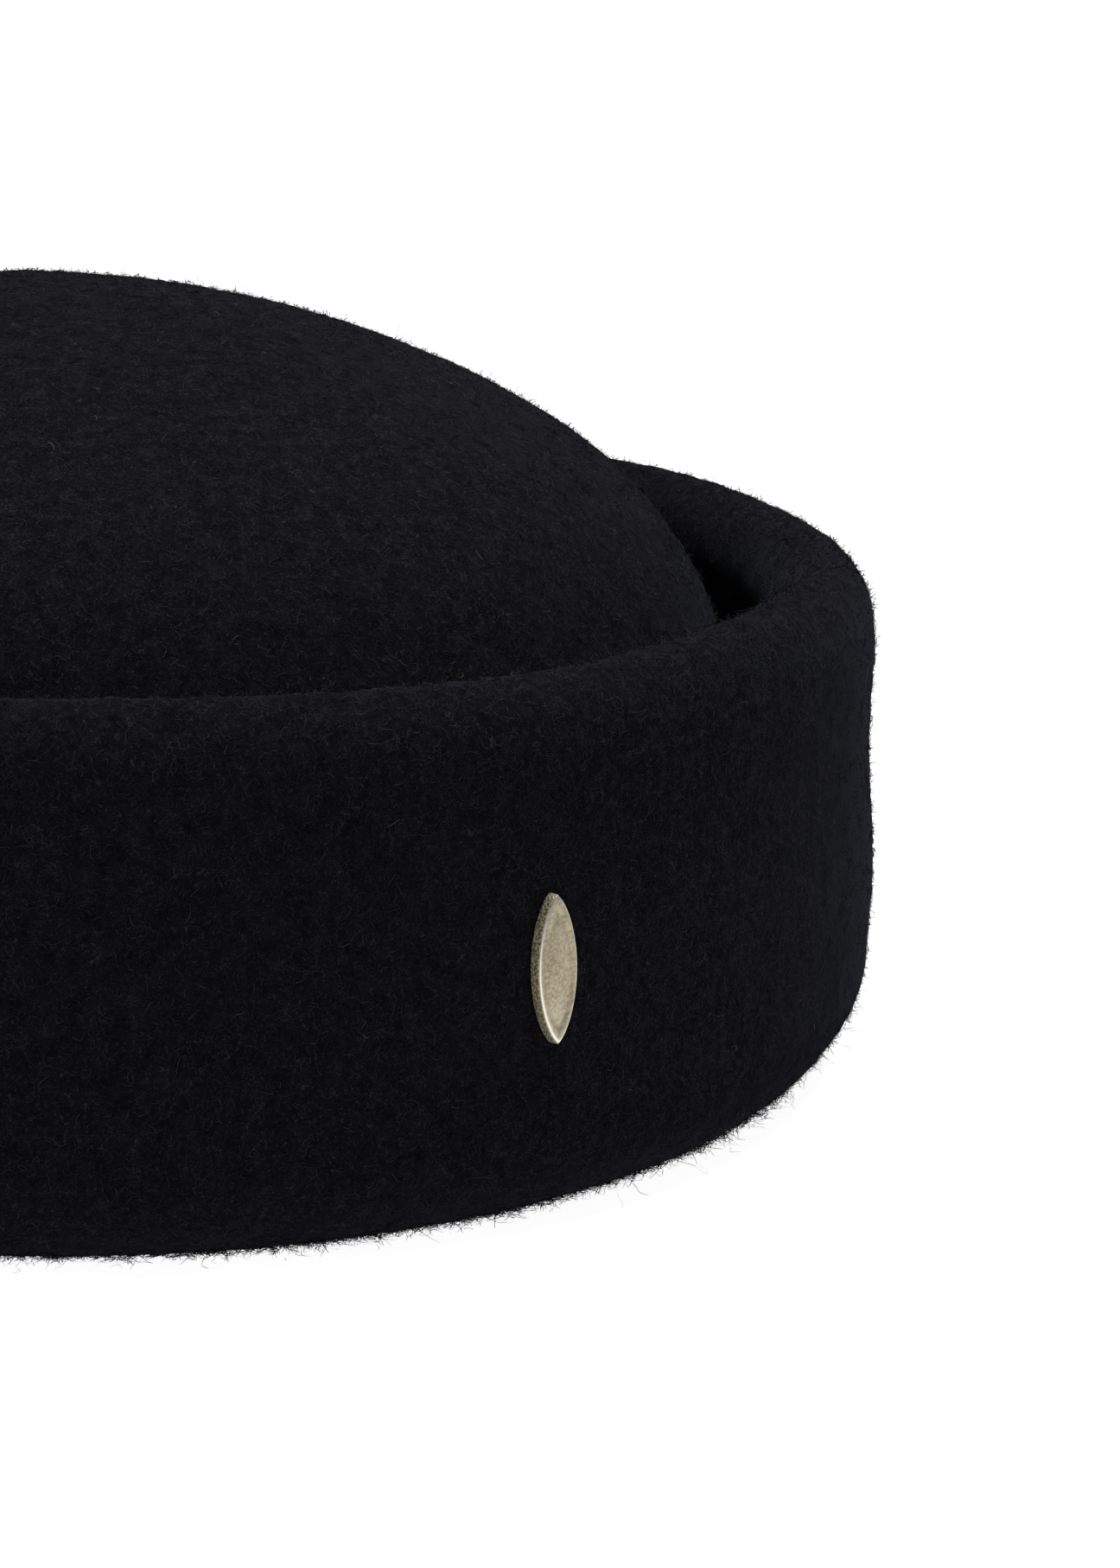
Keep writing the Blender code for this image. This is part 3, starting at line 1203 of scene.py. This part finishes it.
def mesh_of_quads(name: str, points: np.ndarray, quads: np.ndarray, places: np.ndarray) -> Mesh:
    """A mesh from arrays.

    Args:
        name: The mesh's name.
        points: The points, in metres.
        quads: Four point numbers for each face.
        places: A place on the fibres' map for each corner of each face.

    Returns:
        The mesh.
    """
    mesh = bpy.data.meshes.new(name)
    mesh.vertices.add(len(points))
    mesh.vertices.foreach_set("co", points.astype(np.float32).ravel())
    mesh.loops.add(quads.size)
    mesh.loops.foreach_set("vertex_index", quads.astype(np.int32).ravel())
    mesh.polygons.add(len(quads))
    mesh.polygons.foreach_set("loop_start", np.arange(0, quads.size, 4, dtype=np.int32))
    layer = mesh.uv_layers.new(name=FIBRE_MAP)
    layer.data.foreach_set("uv", places.astype(np.float32).ravel())
    mesh.update(calc_edges=True)
    mesh.shade_smooth()
    return mesh


@dataclass
class PinPlate:
    """The pin's plate: an upright pointed oval with a raised border, a crowned face and its soldered post."""

    section: FeltSection
    turn: float = math.radians(-59.0)
    height_share: float = 0.65
    height: float = 17.0
    width: float = 5.6
    thickness: float = 1.6
    edge: float = 0.35
    point: float = 1.45
    gap: float = 0.3
    post_radius: float = 0.6
    post_reach: float = 5.4
    post_sides: int = 24
    sides: int = 96
    edge_steps: int = 4
    wear: tuple[float, ...] = (-1.0, 0.1, 1.0, 0.6, 0.2)
    border: float = 0.55
    groove: float = 0.78
    recess: float = 0.20
    crown: float = 0.30
    crown_steps: int = 7
    tip_stretch: float = 2.4

    def seat(self) -> Matrix:
        """Where the plate sits on the cuff.

        Returns:
            The seat's frame, in millimetres.
        """
        section = self.section
        height = section.fold_height + self.height_share * (section.hem_edge - section.fold_height)
        return section.wall_frame(self.turn, height, self.width, self.height)

    def build(self, material: Material) -> Object:
        """Build the plate and its post.

        Args:
            material: The plate's metal.

        Returns:
            The piece.
        """
        bm = bmesh.new()
        polish_layer = bm.verts.layers.float.new(POLISH)
        bmesh.ops.create_circle(bm, cap_ends=True, segments=self.sides, radius=1.0)
        for vert in bm.verts:
            vert[polish_layer] = -1.0
            angle = math.atan2(vert.co.y, vert.co.x)
            swell = abs(math.cos(angle)) ** self.point
            vert.co.x = math.copysign(self.width / 2 * swell, math.cos(angle))
            vert.co.y = self.height / 2 * math.sin(angle)
        front = bm.faces[:][0]
        inset, level = 0.0, 0.0
        for next_inset, next_level, polish in self.steps():
            front = self.raise_face(bm, front, (inset, level), (next_inset, next_level))
            for vert in front.verts:
                vert[polish_layer] = polish
            inset, level = next_inset, next_level
        bmesh.ops.poke(bm, faces=[front])
        bmesh.ops.recalc_face_normals(bm, faces=bm.faces)
        bmesh.ops.create_cone(
            bm, cap_ends=True, segments=self.post_sides, radius1=self.post_radius, radius2=self.post_radius,
            depth=self.post_reach + self.thickness / 2,
            matrix=Matrix.Translation((0.0, 0.0, (self.thickness / 2 - self.post_reach) / 2)),
        )
        bmesh.ops.translate(bm, verts=bm.verts, vec=(0.0, 0.0, self.gap))
        bmesh.ops.transform(bm, matrix=self.seat(), verts=bm.verts)
        return finish_piece("cast_plate", bm, material)

    def steps(self) -> list[Triple]:
        """The plate's section, from its side to its middle.

        Returns:
            The inset, height and polish of each step.
        """
        steps = []
        for step in range(self.edge_steps + 1):
            angle = math.pi / 2 * step / self.edge_steps
            inset = self.edge * (1 - math.cos(angle))
            steps.append((inset, self.thickness - self.edge * (1 - math.sin(angle)), self.wear[step]))
        steps.append((self.border, self.thickness, 0.0))
        steps.append((self.groove, self.thickness - self.recess, 0.0))
        field = self.width / 2 - self.groove
        for step in range(1, self.crown_steps):
            share = step / self.crown_steps
            rise = self.crown * (1 - (1 - share) ** 2)
            steps.append((self.groove + field * share, self.thickness - self.recess + rise, 0.0))
        return steps

    def raise_face(self, bm: BMesh, face: BMFace, start: Pair, end: Pair) -> BMFace:
        """Extrude the plate's front from one step of its section to the next.

        Args:
            bm: The plate.
            face: Its front face.
            start: The inset and height that the face has.
            end: The inset and height that it gets.

        Returns:
            The new front face.
        """
        front = bmesh.ops.extrude_discrete_faces(bm, faces=[face])["faces"][0]
        across = (self.width / 2 - end[0]) / (self.width / 2 - start[0])
        upright = self.height / 2 / self.tip_stretch
        along = (upright - end[0]) / (upright - start[0])
        bmesh.ops.scale(bm, vec=(across, along, 1.0), verts=front.verts[:])
        bmesh.ops.translate(bm, vec=(0.0, 0.0, end[1] - start[1]), verts=front.verts[:])
        return front


@dataclass(frozen=True)
class ViewPoint:
    """Where the picture is taken from, in millimetres and degrees, and the lens."""

    place: Triple = (3.278, -666.274, 168.488)
    yaw: float = 4.974
    pitch: float = 11.630
    roll: float = 0.750
    lens: float = 120.23
    sensor: float = 36.0
    nearest: float = 0.01
    farthest: float = 100.0

    def build(self) -> None:
        """Make the camera the scene's own."""
        yaw, pitch, roll = (math.radians(angle) for angle in (self.yaw, self.pitch, self.roll))
        level = Vector((math.sin(yaw), math.cos(yaw), 0.0))
        right = Vector((math.cos(yaw), -math.sin(yaw), 0.0))
        ahead = level * math.cos(pitch) - Vector((0.0, 0.0, math.sin(pitch)))
        above = Vector((0.0, 0.0, math.cos(pitch))) + level * math.sin(pitch)
        side = right * math.cos(roll) + above * math.sin(roll)
        upright = above * math.cos(roll) - right * math.sin(roll)
        data = bpy.data.cameras.new("view_point")
        data.lens = self.lens
        data.sensor_width = self.sensor
        data.clip_start = self.nearest
        data.clip_end = self.farthest
        camera = bpy.data.objects.new("view_point", data)
        turned = Matrix((side, upright, -ahead)).transposed().to_4x4()
        turned.translation = Vector(self.place) * MM
        camera.matrix_world = turned
        bpy.context.scene.collection.objects.link(camera)
        bpy.context.scene.camera = camera


@dataclass(frozen=True)
class SoftLight:
    """A large soft lamp. Its place and size are in metres."""

    name: str
    place: Triple
    size: float
    power: float

    def build(self, target: Vector) -> None:
        """Make the lamp and aim it.

        Args:
            target: The place that it is aimed at, in metres.
        """
        data = bpy.data.lights.new(self.name, "AREA")
        data.shape = "SQUARE"
        data.size = self.size
        data.energy = self.power
        lamp = bpy.data.objects.new(self.name, data)
        lamp.location = self.place
        lamp.rotation_euler = (target - Vector(self.place)).to_track_quat("-Z", "Y").to_euler()
        bpy.context.scene.collection.objects.link(lamp)


@dataclass
class Studio:
    """A plain pale floor, a white surround and soft lamps."""

    floor_half: float = 12.0
    surround: float = 0.18
    aim: Triple = (0.0, 0.0, 0.04)
    lamps: tuple[SoftLight, ...] = (
        SoftLight("top_light", (0.35, 0.35, 3.6), 2.4, 335.0),
        SoftLight("side_light", (-1.4, -1.5, 0.9), 1.0, 6.0),
    )

    def build(self) -> None:
        """Build the floor, the surround and the lamps."""
        bm = bmesh.new()
        bmesh.ops.create_grid(bm, x_segments=1, y_segments=1, size=self.floor_half / MM)
        floor = finish_piece("floor", bm, PaleFloor().build())
        world = bpy.data.worlds.new("surround")
        world.use_nodes = True
        sky = world.node_tree.nodes["Background"]
        sky.inputs["Color"].default_value = (*WHITE, 1.0)
        sky.inputs["Strength"].default_value = self.surround
        bpy.context.scene.world = world
        for lamp in self.lamps:
            lamp.build(Vector(self.aim))
        bpy.context.scene.view_settings.view_transform = "Standard"


def dress_node(name: str, material: Material) -> None:
    """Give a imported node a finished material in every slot.

    Args:
        name: The node's name.
        material: The finished material.
    """
    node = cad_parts[name]
    if not node.material_slots:
        node.data.materials.append(material)
    for slot in node.material_slots:
        slot.material = material


def join_body(piece: Object, slot: str, *replaced: str) -> None:
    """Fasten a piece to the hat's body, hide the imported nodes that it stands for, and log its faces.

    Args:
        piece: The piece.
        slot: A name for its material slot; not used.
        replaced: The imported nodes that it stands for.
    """
    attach(piece, BODY)
    if replaced:
        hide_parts(*replaced)
    LOG.info("%s: %d faces", piece.name, len(piece.data.polygons))


def main() -> None:
    """Build the hat's looks in order."""
    logging.basicConfig(level=logging.INFO, format="%(message)s")
    Studio().build()
    ViewPoint().build()
    section = FeltSection()
    shell = FeltShell(section).build(NavyFelt().build())
    join_body(shell, "navy_felt", "felt_body")
    for fuzz in Fuzz().build(shell, WoolFibre().build()):
        join_body(fuzz, "navy_felt")
    plate = PinPlate(section).build(CastBrass().build())
    join_body(plate, "pale_brass", "pin_plate")
    dress_node("pin_clutch", SatinSteel().build())


if __name__ == "__main__":
    main()
